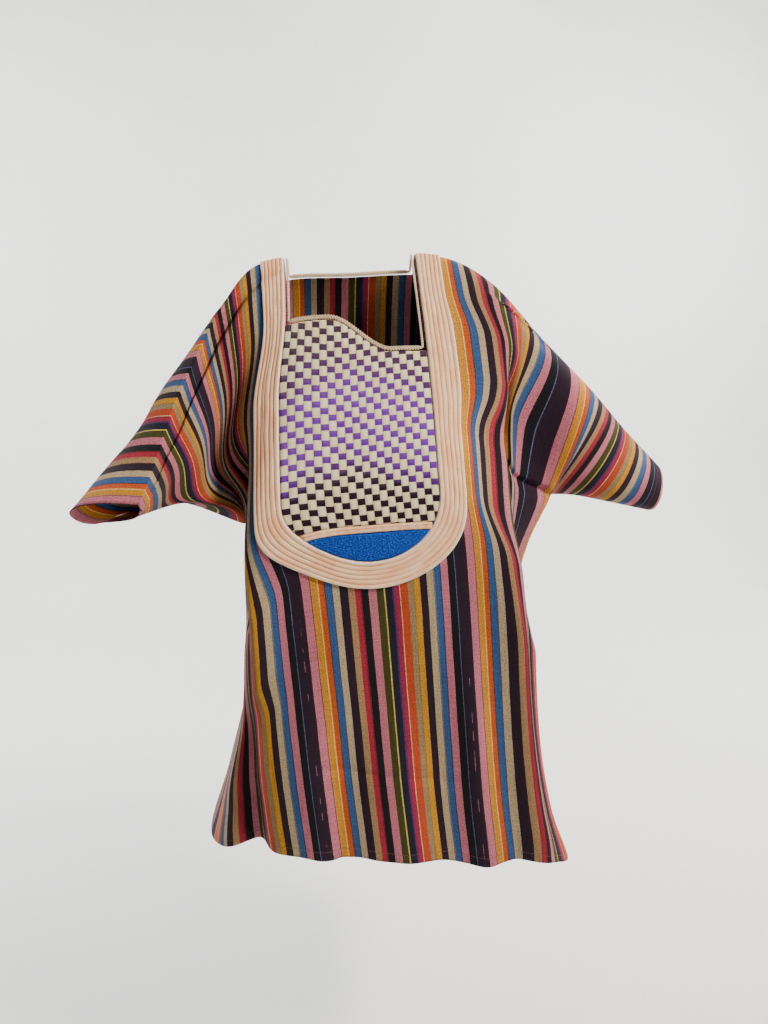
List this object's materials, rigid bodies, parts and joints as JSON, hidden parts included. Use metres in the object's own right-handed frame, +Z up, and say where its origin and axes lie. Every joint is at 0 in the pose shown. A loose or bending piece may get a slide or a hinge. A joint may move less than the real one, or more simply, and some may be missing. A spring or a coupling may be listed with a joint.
{
  "type": "kaftan",
  "caption": "Short kaftan in striped handloom cotton with sleeves cut in one, an embroidered U-shaped yoke and an open neck, kept in its worn form.",
  "frame": {"origin": "middle of the shoulder line, at the neck, where the garment rests on its wearer", "axes": "+Z up, front towards -Y, +X to the viewer's right"},
  "size_m": [0.6592, 0.2779, 0.706],
  "materials": {
    "striped_cotton": "matt plain weave in upright warp stripes",
    "cream_satin": "soft satin stitch in raised rows",
    "purple_cream_satin": "satin stitch blocks in a basket weave",
    "blue_fill": "dense knotted filling stitch",
    "cream_cord": "twisted cotton cord"
  },
  "bodies": {
    "root": {"front": "striped_cotton", "back": "striped_cotton", "neck_band": "cream_satin", "back_neck_band": "cream_satin", "yoke_panel": "purple_cream_satin", "yoke_bar": "cream_satin", "crescent": "blue_fill", "neck_cord": "cream_cord", "back_neck_cord": "cream_cord"}
  },
  "joints": []
}
